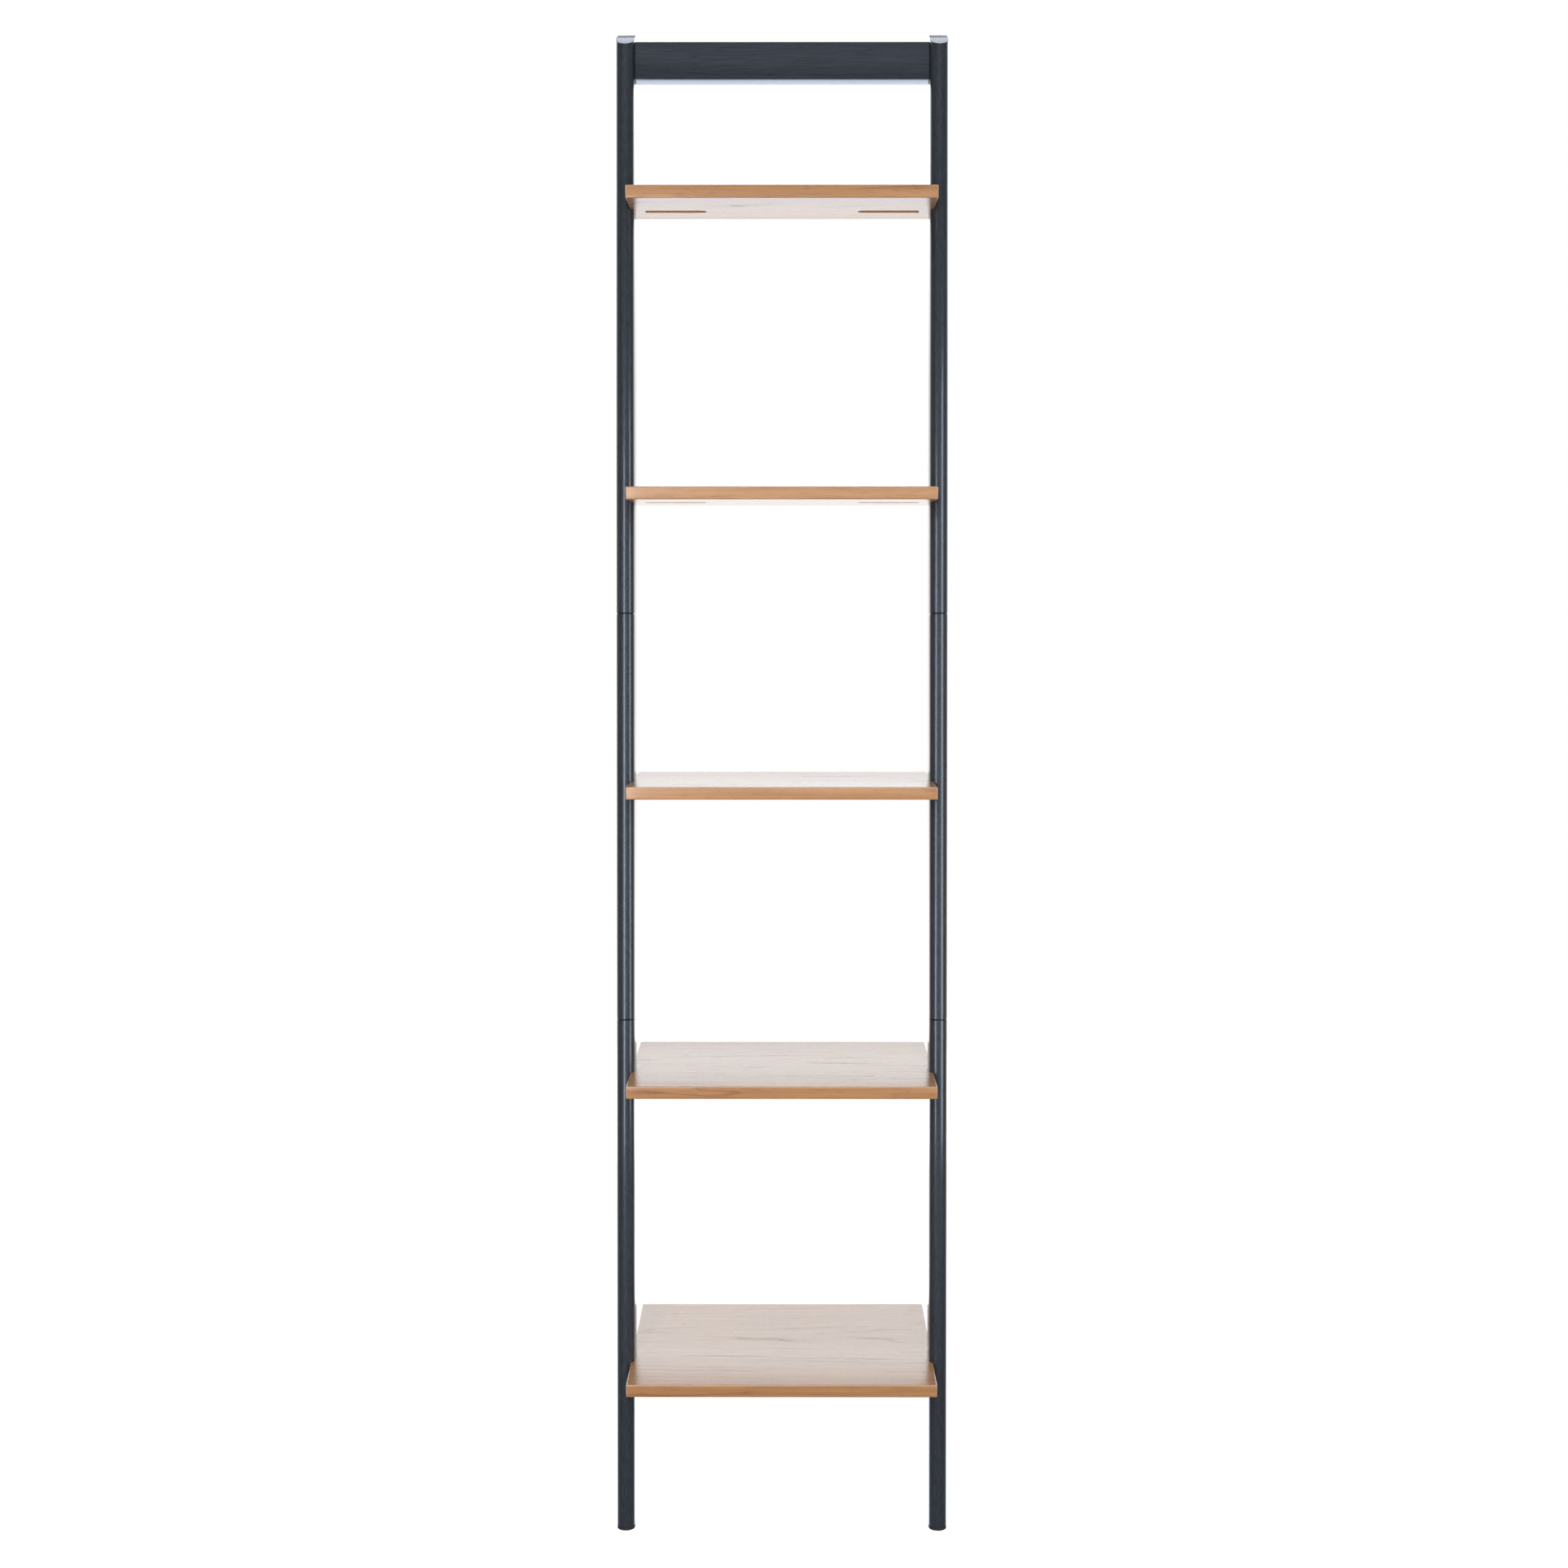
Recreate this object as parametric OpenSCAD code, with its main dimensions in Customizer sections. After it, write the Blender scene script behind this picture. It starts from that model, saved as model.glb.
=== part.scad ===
// Leaning ladder shelf: two raked posts, each in three butted sections, a top rail between
// them and five shelves whose front edges follow the rake while their back edges share one
// plumb wall plane.
//
// Frame: +Z up, the front faces -Y, X runs across. The origin is on the floor, half way
// across the posts and half way between the front of the bottom shelf and the wall plane.
// Lean frame: (x, v, u), where u runs up the rake of the posts and v runs square to it,
// backwards from the tips of the rounded post noses.

/* [Overall] */
// Width across the outer faces of the two posts
overall_w = 400; // [340:5:520]
// Height from the floor to the top of the posts
overall_h = 1800; // [1500:10:2160]
// Depth of the bottom shelf, from its front edge to the wall
bottom_d = 300; // [250:5:360]
// Depth of the top shelf, from its front edge to the wall
top_d = 150; // [135:5:180]

/* [Shelves] */
// Height of the bottom shelf's top face
base_room = 202; // [150:1:260]
// Height left between the top shelf and the top of the posts
head_room = 200; // [140:1:260]
// Thickness of a shelf board
shelf_t = 15; // [14:0.5:22]
// How far each shelf's front edge stands ahead of the post noses
overhang = 74; // [40:1:90]
// How deep the shelf ends are let into the inner faces of the posts
housing = 5; // [2:0.5:8]
// Rounding of the shelf edges
edge_r = 1.5; // [0.5:0.1:3]
// Length of the bolt pocket under each shelf end
pocket_l = 74; // [50:1:90]
// Width of the bolt pocket
pocket_w = 16; // [12:0.5:24]
// Depth of the bolt pocket
pocket_h = 11.5; // [11.5:0.1:13]
// Solid wood left between the pocket and the shelf end
pocket_wall = 17.5; // [12:0.5:24]

/* [Posts] */
// Width of a post seen from the front, which is also the diameter of its rounded nose
post_w = 22; // [18:0.2:32]
// Depth of a post, square to its rake
post_d = 38; // [31:0.2:50]
// Rounding of the two back corners
back_r = 2; // [0.5:0.1:4]
// Easing of the section ends where two sections butt
joint_ease = 1; // [0.4:0.1:2]
// Height of the lower joint above the second shelf, along the post
lower_joint_rise = 64; // [50:1:120]
// Height of the upper joint above the third shelf, along the post
upper_joint_rise = 203; // [60:1:230]
// Depth of the steep front bevel at the post's top end
bevel_d = 18.3; // [10:0.1:24]
// Slope of the front bevel from square
bevel_angle = 37; // [20:1:50]
// Slope of the shallower crown behind the bevel
crown_angle = 26; // [5:1:35]

/* [Top rail] */
// Height of the rail
rail_h = 45; // [40:0.5:70]
// Thickness of the rail
rail_t = 20; // [18:0.5:24]
// How far the rail's front face sits behind the post noses
rail_setback = 14; // [4:0.5:16]
// Height of the rail's top edge above the low end of the post bevel
rail_rise = 7; // [0:0.5:9]
// Solid wood left between the rail's bolt pocket and its end
rail_wall = 17.5; // [12:0.5:24]

/* [Feet] */
// Thickness of the foot pad
pad_t = 4; // [2:0.5:8]
// How far the pad is set in from the faces of the post
pad_inset = 0.4; // [0:0.1:2]
// Radius of the peg that holds the pad
peg_r = 4; // [3:0.1:5]
// Length of the peg
peg_l = 15; // [10:1:30]

/* [Hardware] */
// Radius of the bolts and of their threads
bolt_r = 2.5; // [2:0.1:3]
// Length of a shelf or rail bolt under its head
bolt_l = 30; // [26:1:34]
// Height of a shelf bolt above the shelf's underside
bolt_rise = 6; // [5.5:0.1:6]
// Outer radius of a threaded insert
insert_r = 4; // [3.5:0.1:4.5]
// Length of a threaded insert
insert_l = 12; // [10:0.5:12.5]
// Radius of a washer
washer_r = 5; // [4.5:0.1:5.2]
// Thickness of a washer
washer_t = 1; // [0.8:0.1:1.5]
// Width of the flat steel tenon in a post joint
tenon_w = 8; // [6:0.5:10]
// Depth of the tenon, front to back
tenon_d = 20; // [14:0.5:20]
// Length of the tenon
tenon_l = 80; // [50:1:80]
// Length of the countersunk screws that hold the tenon
tenon_screw_l = 16; // [12:1:20]
// Radius of a rail dowel
dowel_r = 3; // [2.5:0.1:4]
// Length of a rail dowel
dowel_l = 24; // [16:1:26]

/* [Wall brackets] */
// Distance of each bracket from the centre line
bracket_x = 60; // [30:1:80]
// Width of a bracket
bracket_w = 20; // [14:1:30]
// Thickness of the bracket's steel
bracket_t = 2; // [1.5:0.1:3]
// Length of the leg that hangs down in front of the wall
bracket_leg = 26; // [22:1:40]
// Radius of the hole for the wall screw
wall_hole_r = 2.5; // [2:0.1:3.5]
// Distance the leg stands in front of the wall plane, which its wall screw takes up
bracket_gap = 0.5; // [0:0.1:1]
// Length of the screw that holds the bracket to the rail
bracket_screw_l = 20; // [14:1:24]

/* [Hidden] */
$fn = 64;
shelf_count = 5;
// Radial clearance round pins, bolts and inserts
fit = 0.05;
// Clearance round the tenon and over the top face of a shelf in its housing
slip = 0.2;
// How far a cutter runs past the surface that it opens
past = 1;
head_r = 4.25;
head_h = 4.6;
hex_key_r = 2.3;
hex_key_h = 2.5;
sink_r = 4.8;
sink_h = 2.5;
pan_r = 3.6;
pan_h = 2;

charcoal = "#363b42";
veneer = "#b8906a";
zinc = "#a9adb2";
brass = "#b59a57";
black_pad = "#22242a";
beech = "#cda878";

pitch = (overall_h - base_room - head_room) / (shelf_count - 1);
lean = atan((bottom_d - top_d) / ((shelf_count - 1) * pitch));
wall_y = bottom_d / 2;
foot_y = overhang - wall_y - base_room * tan(lean);
nose_r = post_w / 2;
post_x = overall_w / 2 - nose_r;
inner_x = overall_w / 2 - post_w;
shelf_l = 2 * (inner_x + housing);
// Line down the middle of the post's thick part, where all its hardware sits
spine_v = (nose_r / 2 + post_d) / 2;

// The post's top end: bevel_low is where the bevel starts at the nose tip
crown_rise = (post_d - bevel_d) * tan(crown_angle);
post_len = (overall_h + post_d * sin(lean)) / cos(lean);
bevel_high = post_len - crown_rise;
bevel_low = bevel_high - bevel_d * tan(bevel_angle);
lower_joint = rake_u(1) + lower_joint_rise;
upper_joint = rake_u(2) + upper_joint_rise;
rail_top = bevel_low + rail_rise;
rail_mid_v = rail_setback + rail_t / 2;
rail_mid_u = rail_top - rail_h / 2;
// The bracket screws stand behind the rail's middle, so the rail's front edge hides their heads
bracket_screw_v = rail_setback + 0.775 * rail_t;
rail_pocket_l = 60;
rail_pocket_w = 16;
dowel_step = 14;
tenon_screw_step = 20;

// The face of the bracket's leg, and where its upper leg meets that face
leg_y = wall_y - bracket_gap;
leg_u = rail_top + bracket_t;
leg_z = square_z(leg_u, leg_y);
wall_hole_drop = 14;

function shelf_z(i) = base_room + i * pitch;
function shelf_d(i) = bottom_d - i * pitch * tan(lean);
function nose_y(z) = foot_y + z * tan(lean);
function bolt_y(i) = nose_y(shelf_z(i)) + spine_v / cos(lean);
function bolt_z(i) = shelf_z(i) - shelf_t + bolt_rise;
// Length along the nose line at which a shelf's top face crosses it
function rake_u(i) = shelf_z(i) / cos(lean);
// A lean frame point as [Y, Z]
function rake_yz(v, u) = [
    foot_y + v * cos(lean) + u * sin(lean),
    u * cos(lean) - v * sin(lean)
];
// Height at depth y of the plane that crosses the post squarely at length u
function square_z(u, y) = u * cos(lean) - (y - foot_y - u * sin(lean)) * tan(lean);

// ---- Frames and repeated shapes ----

module lean_frame() {
    translate([0, foot_y, 0]) rotate([-lean, 0, 0]) children();
}

// Draws its children on the right (side 1) or mirrored to the left (side -1)
module on_side(side) {
    mirror([side < 0 ? 1 : 0, 0, 0]) children();
}

module both_sides() {
    for (side = [-1, 1]) on_side(side) children();
}

// A rod along +X from x0
module rod_x(x0, l, r) {
    translate([x0, 0, 0]) rotate([0, 90, 0]) cylinder(h = l, r = r);
}

// Post section: a half-round nose, flat sides and a flat back with rounded corners
module post_outline(inset = 0) {
    r = nose_r - inset;
    back = post_d - nose_r - inset;
    translate([0, nose_r]) circle(r = r);
    translate([-r, nose_r]) square([2 * r, back - back_r]);
    translate([back_r - r, nose_r]) square([2 * (r - back_r), back]);
    for (s = [-1, 1])
        translate([s * (r - back_r), post_d - inset - back_r]) circle(r = back_r);
}

// The eased end of a section at height u, drawn towards the section (dir 1 up, -1 down)
module eased_end(u, dir) {
    skin = 0.02;
    hull($fn = 48) {
        translate([0, 0, u - (dir < 0 ? skin : 0)]) linear_extrude(skin)
            post_outline(joint_ease);
        translate([0, 0, u + dir * joint_ease - (dir < 0 ? 0 : skin)]) linear_extrude(skin)
            post_outline();
    }
}

// ---- Posts ----

// Bore in a post face at x for an insert, and behind it for the tip of a bolt that has
// come through a wall of wood from the other piece
module insert_seat(x, wall) {
    rod_x(x - past, insert_l + past + slip, insert_r + fit);
    rod_x(x, bolt_l - washer_t - wall + slip, bolt_r + slip);
}

// Housing and insert bore for shelf i, for the right-hand post
module shelf_seat(i) {
    z = shelf_z(i) - shelf_t;
    translate([inner_x - past, nose_y(z) - past, z])
        cube([housing + past, post_d / cos(lean) + shelf_t + 2 * past, shelf_t + slip]);
    translate([0, bolt_y(i), bolt_z(i)])
        insert_seat(inner_x + housing, pocket_wall);
}

// Mortise across a joint at height u, with the two countersunk holes in the back face
module tenon_seat(u) {
    gap = slip / 2;
    translate([post_x - tenon_w / 2 - gap, spine_v - tenon_d / 2 - gap, u - tenon_l / 2 - gap])
        cube([tenon_w + 2 * gap, tenon_d + 2 * gap, tenon_l + 2 * gap]);
    at_tenon_screws(u) {
        translate([0, 0, -past]) cylinder(h = post_d - spine_v + past, r = bolt_r + fit);
        cylinder(h = sink_h, r1 = sink_r, r2 = bolt_r);
        translate([0, 0, -past]) cylinder(h = past, r = sink_r);
    }
}

// Places its children at the two tenon screws of a joint, their axis running inwards
module at_tenon_screws(u) {
    for (s = [-1, 1])
        translate([post_x, post_d, u + s * tenon_screw_step]) rotate([90, 0, 0]) children();
}

module rail_seat() {
    translate([0, rail_mid_v, rail_mid_u]) {
        insert_seat(inner_x, rail_wall);
        for (s = [-1, 1]) translate([0, 0, s * dowel_step])
            rod_x(inner_x - past, dowel_l / 2 + past, dowel_r + fit);
    }
}

// Everything above the bevel and the crown
module top_cut() {
    far = post_d + post_w;
    rise = tan(crown_angle) * (far - bevel_d);
    translate([post_x - post_w, 0, 0]) rotate([90, 0, 90]) linear_extrude(2 * post_w)
        polygon([
            [-post_w, bevel_low - post_w * tan(bevel_angle)],
            [bevel_d, bevel_high],
            [far, bevel_high + rise],
            [far, post_len + 2 * post_d],
            [-post_w, post_len + 2 * post_d]
        ]);
}

// Everything behind the wall plane near the top of a post
module wall_cut() {
    translate([inner_x - past, wall_y, overall_h / 2])
        cube([post_w + 2 * past, 2 * post_d, overall_h]);
}

module post_lower(side) color(charcoal) on_side(side) difference() {
    lean_frame() translate([post_x, 0, 0]) {
        translate([0, 0, -post_d]) linear_extrude(lower_joint - joint_ease + post_d)
            post_outline();
        eased_end(lower_joint, -1);
    }
    translate([inner_x - past, foot_y - post_d, pad_t - 2 * post_d])
        cube([post_w + 2 * past, 3 * post_d, 2 * post_d]);
    for (i = [0, 1]) shelf_seat(i);
    lean_frame() tenon_seat(lower_joint);
    at_foot() cylinder(h = pad_t + peg_l + slip, r = peg_r + fit);
}

module post_middle(side) color(charcoal) on_side(side) difference() {
    lean_frame() translate([post_x, 0, 0]) {
        translate([0, 0, lower_joint + joint_ease])
            linear_extrude(upper_joint - lower_joint - 2 * joint_ease) post_outline();
        eased_end(lower_joint, 1);
        eased_end(upper_joint, -1);
    }
    shelf_seat(2);
    lean_frame() tenon_seat(lower_joint);
    lean_frame() tenon_seat(upper_joint);
}

module post_upper(side) color(charcoal) on_side(side) difference() {
    lean_frame() translate([post_x, 0, 0]) {
        translate([0, 0, upper_joint + joint_ease])
            linear_extrude(post_len + post_d - upper_joint) post_outline();
        eased_end(upper_joint, 1);
    }
    for (i = [3, 4]) shelf_seat(i);
    lean_frame() {
        tenon_seat(upper_joint);
        rail_seat();
        top_cut();
    }
    wall_cut();
}

// ---- Shelves and rail ----

// A rectangle from the origin with rounded corners
module rounded_rect(w, h, r) {
    translate([r, 0]) square([w - 2 * r, h]);
    translate([0, r]) square([w, h - 2 * r]);
    for (x = [r, w - r], y = [r, h - r]) translate([x, y]) circle(r = r);
}

// The board before it is machined: where three rounded bars cross, so every edge is eased
module shelf_board(i) {
    d = shelf_d(i);
    translate([-shelf_l / 2, wall_y - d, shelf_z(i) - shelf_t]) intersection() {
        translate([-past, 0, 0]) rotate([90, 0, 90])
            linear_extrude(shelf_l + 2 * past) rounded_rect(d, shelf_t, edge_r);
        translate([0, d + past, 0]) rotate([90, 0, 0])
            linear_extrude(d + 2 * past) rounded_rect(shelf_l, shelf_t, edge_r);
        translate([0, 0, -past])
            linear_extrude(shelf_t + 2 * past) rounded_rect(shelf_l, d, edge_r);
    }
}

// A pocket with a flat end for the bolt head and a round end, opening downwards (-Z)
module bolt_pocket(end_x, l, w, h) {
    translate([end_x - l + w / 2, -w / 2, 0]) cube([l - w / 2, w, h]);
    translate([end_x - l + w / 2, 0, 0]) cylinder(h = h, r = w / 2);
}

module shelf(i) color(veneer) difference() {
    shelf_board(i);
    both_sides() {
        translate([0, bolt_y(i), shelf_z(i) - shelf_t - past])
            bolt_pocket(shelf_l / 2 - pocket_wall, pocket_l, pocket_w, pocket_h + past);
        translate([0, bolt_y(i), bolt_z(i)])
            rod_x(shelf_l / 2 - pocket_wall - past, pocket_wall + 2 * past, bolt_r + slip);
    }
}

module top_rail() color(charcoal) lean_frame() difference() {
    translate([-inner_x, rail_setback, rail_top - rail_h]) cube([2 * inner_x, rail_t, rail_h]);
    both_sides() translate([0, rail_mid_v, rail_mid_u]) {
        translate([0, rail_t / 2 + past, 0]) rotate([90, 0, 0])
            bolt_pocket(inner_x - rail_wall, rail_pocket_l, rail_pocket_w,
                        rail_t / 2 + past + washer_r + slip);
        rod_x(inner_x - rail_wall - past, rail_wall + 2 * past, bolt_r + slip);
        for (s = [-1, 1]) translate([0, 0, s * dowel_step])
            rod_x(inner_x - dowel_l / 2, dowel_l / 2 + past, dowel_r + fit);
    }
    at_bracket_screws() translate([0, 0, -bracket_screw_l])
        cylinder(h = bracket_screw_l + past, r = pan_r / 2 + fit);
}

// ---- Feet ----

// Places its children on the floor under the middle of the right-hand post, axis upwards
module at_foot() {
    translate([post_x, foot_y + spine_v / cos(lean), 0]) children();
}

module foot_pad(side) color(black_pad) on_side(side) {
    intersection() {
        lean_frame() translate([post_x, 0, -post_d]) linear_extrude(2 * post_d)
            post_outline(pad_inset);
        translate([inner_x, foot_y - post_d, 0]) cube([post_w, 3 * post_d, pad_t]);
    }
    at_foot() cylinder(h = pad_t + peg_l, r = peg_r);
}

// ---- Joint hardware ----

module tenon(side, u) color(zinc) on_side(side) lean_frame() difference() {
    translate([post_x - tenon_w / 2, spine_v - tenon_d / 2, u - tenon_l / 2])
        cube([tenon_w, tenon_d, tenon_l]);
    at_tenon_screws(u) cylinder(h = 2 * post_d, r = bolt_r + fit);
}

// A countersunk screw with its head at the origin and its shank along +Z
module countersunk_screw(l) {
    difference() {
        union() {
            cylinder(h = sink_h, r1 = sink_r - slip, r2 = bolt_r);
            cylinder(h = l, r = bolt_r);
        }
        translate([0, 0, -past]) cylinder(h = hex_key_h / 2 + past, r = hex_key_r, $fn = 6);
    }
}

module tenon_screws() color(zinc) both_sides() lean_frame()
    for (u = [lower_joint, upper_joint]) at_tenon_screws(u) countersunk_screw(tenon_screw_l);

// A socket bolt along +X whose washer seats at x = seat_x
module socket_bolt(seat_x) {
    under_head = seat_x - washer_t;
    difference() {
        union() {
            rod_x(under_head - head_h, head_h, head_r);
            rod_x(under_head, bolt_l, bolt_r);
        }
        translate([under_head - head_h - past, 0, 0]) rotate([0, 90, 0])
            cylinder(h = hex_key_h + past, r = hex_key_r, $fn = 6);
    }
}

module washer(seat_x) difference() {
    rod_x(seat_x - washer_t, washer_t, washer_r);
    rod_x(seat_x - washer_t - past, washer_t + 2 * past, bolt_r + fit);
}

module insert(x) difference() {
    rod_x(x, insert_l, insert_r);
    rod_x(x - past, insert_l + 2 * past, bolt_r + fit);
}

// Places its children on the bolt line of every shelf, at both ends
module at_shelf_bolts() {
    both_sides() for (i = [0 : shelf_count - 1])
        translate([0, bolt_y(i), bolt_z(i)]) children();
}

module at_rail_bolts() {
    both_sides() lean_frame() translate([0, rail_mid_v, rail_mid_u]) children();
}

module shelf_bolts() color(zinc) at_shelf_bolts() socket_bolt(shelf_l / 2 - pocket_wall);
module shelf_washers() color(zinc) at_shelf_bolts() washer(shelf_l / 2 - pocket_wall);
module shelf_inserts() color(brass) at_shelf_bolts() insert(inner_x + housing);
module rail_bolts() color(zinc) at_rail_bolts() socket_bolt(inner_x - rail_wall);
module rail_washers() color(zinc) at_rail_bolts() washer(inner_x - rail_wall);
module rail_inserts() color(brass) at_rail_bolts() insert(inner_x);

module rail_dowels() color(beech) at_rail_bolts()
    for (s = [-1, 1]) translate([0, 0, s * dowel_step])
        rod_x(inner_x - dowel_l / 2, dowel_l, dowel_r);

// ---- Wall brackets ----

// Places its children on the rail's top edge at both brackets, within the lean frame
module at_bracket_screws() {
    for (s = [-1, 1]) translate([s * bracket_x, bracket_screw_v, rail_top]) children();
}

// A bent plate: one leg lies on the rail's top edge, the other hangs down in front of the wall
module wall_bracket(side) color(zinc) on_side(side) difference() {
    translate([bracket_x - bracket_w / 2, 0, 0]) rotate([90, 0, 90]) linear_extrude(bracket_w)
        polygon([
            rake_yz(rail_setback + rail_t / 3, rail_top),
            rake_yz(rail_setback + rail_t / 3, leg_u),
            [leg_y, leg_z],
            [leg_y, leg_z - bracket_leg],
            [leg_y - bracket_t, leg_z - bracket_leg],
            [leg_y - bracket_t, square_z(rail_top, leg_y - bracket_t)]
        ]);
    lean_frame() translate([bracket_x, bracket_screw_v, rail_top - past])
        cylinder(h = bracket_t + 2 * past, r = pan_r / 2 + slip);
    translate([bracket_x, leg_y + past, leg_z - wall_hole_drop]) rotate([90, 0, 0])
        cylinder(h = bracket_t + 2 * past, r = wall_hole_r);
}

module bracket_screws() color(zinc) lean_frame() at_bracket_screws() difference() {
    union() {
        translate([0, 0, -bracket_screw_l + bracket_t])
            cylinder(h = bracket_screw_l, r = pan_r / 2);
        translate([0, 0, bracket_t]) cylinder(h = pan_h, r = pan_r);
    }
    translate([0, 0, bracket_t + pan_h / 2]) cylinder(h = pan_h, r = pan_r / 3, $fn = 6);
}

post_lower(-1);  // post_left_lower
post_middle(-1);  // post_left_middle
post_upper(-1);  // post_left_upper
post_lower(1);  // post_right_lower
post_middle(1);  // post_right_middle
post_upper(1);  // post_right_upper
top_rail();
shelf(0);  // shelf_bottom
shelf(1);  // shelf_lower
shelf(2);  // shelf_middle
shelf(3);  // shelf_upper
shelf(4);  // shelf_top
foot_pad(-1);  // foot_pad_left
foot_pad(1);  // foot_pad_right
tenon(-1, lower_joint);  // tenon_left_lower
tenon(-1, upper_joint);  // tenon_left_upper
tenon(1, lower_joint);  // tenon_right_lower
tenon(1, upper_joint);  // tenon_right_upper
tenon_screws();
shelf_bolts();
shelf_washers();
shelf_inserts();
rail_bolts();
rail_washers();
rail_inserts();
rail_dowels();
wall_bracket(-1);  // wall_bracket_left
wall_bracket(1);  // wall_bracket_right
bracket_screws();
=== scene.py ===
"""A leaning ladder shelf: charcoal-stained posts and rail, and five veneered shelves.

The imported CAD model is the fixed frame. The posts, the top rail and the shelf boards are made
again as finer meshes, and the feet and the hardware keep their CAD meshes under better
finishes. Lengths are in millimetres until a mesh is made.
"""
import logging
import math
from collections.abc import Callable
from dataclasses import dataclass, field
from enum import Enum
from functools import partial
from typing import Any

import bmesh
import bpy
import numpy as np
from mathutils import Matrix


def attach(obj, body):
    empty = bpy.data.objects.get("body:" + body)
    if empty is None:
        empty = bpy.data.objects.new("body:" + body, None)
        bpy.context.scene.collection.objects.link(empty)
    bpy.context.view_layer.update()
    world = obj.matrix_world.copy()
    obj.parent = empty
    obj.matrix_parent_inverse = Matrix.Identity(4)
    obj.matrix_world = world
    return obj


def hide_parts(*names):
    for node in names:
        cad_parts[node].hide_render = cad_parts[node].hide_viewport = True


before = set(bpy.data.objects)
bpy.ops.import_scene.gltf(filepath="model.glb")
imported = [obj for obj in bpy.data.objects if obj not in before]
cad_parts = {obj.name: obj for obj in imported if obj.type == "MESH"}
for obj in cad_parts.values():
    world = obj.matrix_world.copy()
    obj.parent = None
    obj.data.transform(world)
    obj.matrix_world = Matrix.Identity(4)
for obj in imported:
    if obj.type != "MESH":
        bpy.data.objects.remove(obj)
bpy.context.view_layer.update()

LOG = logging.getLogger("ladder_shelf")
MM = 0.001
MERGE = 1e-6
SHARP_EDGE = math.radians(32)
FACES_END = 0.9  # a face whose normal's X is past this belongs to the end of a board
LEAST_RADIUS = 0.02  # in millimetres, so that a corner's points never fall together

# How many rings' width the slow noise and the quick noise bend the rings by.
BEND_RINGS = 1.8
RIPPLE_RINGS = 0.4
# Sizes in millimetres of the slow bend, the quick ripple and the patches where rings fade out.
BEND_MM = (220.0, 30.0, 30.0)
RIPPLE_MM = (60.0, 7.0, 7.0)
FADE_MM = (240.0, 22.0, 22.0)
# What is left of a ring's darkness where it fades most, and the noise levels it fades between.
FAINTEST_RING = 0.12
FADE_RANGE = (0.45, 0.66)
# Noise levels between which a pore appears, and between which streaks go from none to full.
PORE_RANGE = (0.57, 0.7)
STREAK_RANGE = (0.35, 0.68)
# Darkness across one ring, as places and levels: pale early wood, then a thin dark late line.
RING_STOPS = ((0.0, 0.3), (1.0, 0.35), (0.1, 0.0), (0.72, 0.0), (0.88, 0.35), (0.95, 1.0))


class Side(Enum):
    """Which post a piece belongs to; the value is the sign of its X."""

    LEFT = -1
    RIGHT = 1


class Cut(Enum):
    """How a post section ends."""

    LEVEL = "cut level with the floor"
    BUTT = "butted square on the next section, with an eased edge"
    CROWN = "bevelled in front and crowned behind"


class Reach(Enum):
    """What a light adds to a surface: its colour, its shine or both."""

    ALL = "colour and shine"
    COLOUR = "colour only"
    SHINE = "shine only"


# ---- Meshes ----


def tube_faces(rings: int, points: int) -> np.ndarray:
    """Quads of a tube whose rings lie one after another in the vertex list.

    Point p of ring r is joined to point p + 1 of the same ring and to the same two points of
    ring r + 1, and the last point of a ring is joined to its first.

    Args:
        rings: how many rings there are.
        points: how many points each ring has.

    Returns:
        An array of quads, one row of four vertex numbers each.
    """
    ring = np.arange(rings - 1)[:, None] * points
    here = np.arange(points)[None, :]
    after = (here + 1) % points
    quads = np.stack([ring + here, ring + after, ring + points + after, ring + points + here], -1)
    return quads.reshape(-1, 4)


def paired_cap(start: int, pairs: int) -> list[list[int]]:
    """Faces that close a ring laid out as right-hand points, then left-hand ones reversed.

    Point i on the right faces point 2 * pairs - 1 - i on the left, so each strip of the cap
    runs straight across from one side to the other.

    Args:
        start: vertex number of the ring's first point.
        pairs: how many pairs the ring has.

    Returns:
        The faces as lists of vertex numbers.
    """
    i = np.arange(pairs - 1)
    last = 2 * pairs - 1
    strips = np.stack([i, i + 1, last - i - 1, last - i], -1) + start
    return strips.tolist()


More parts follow.
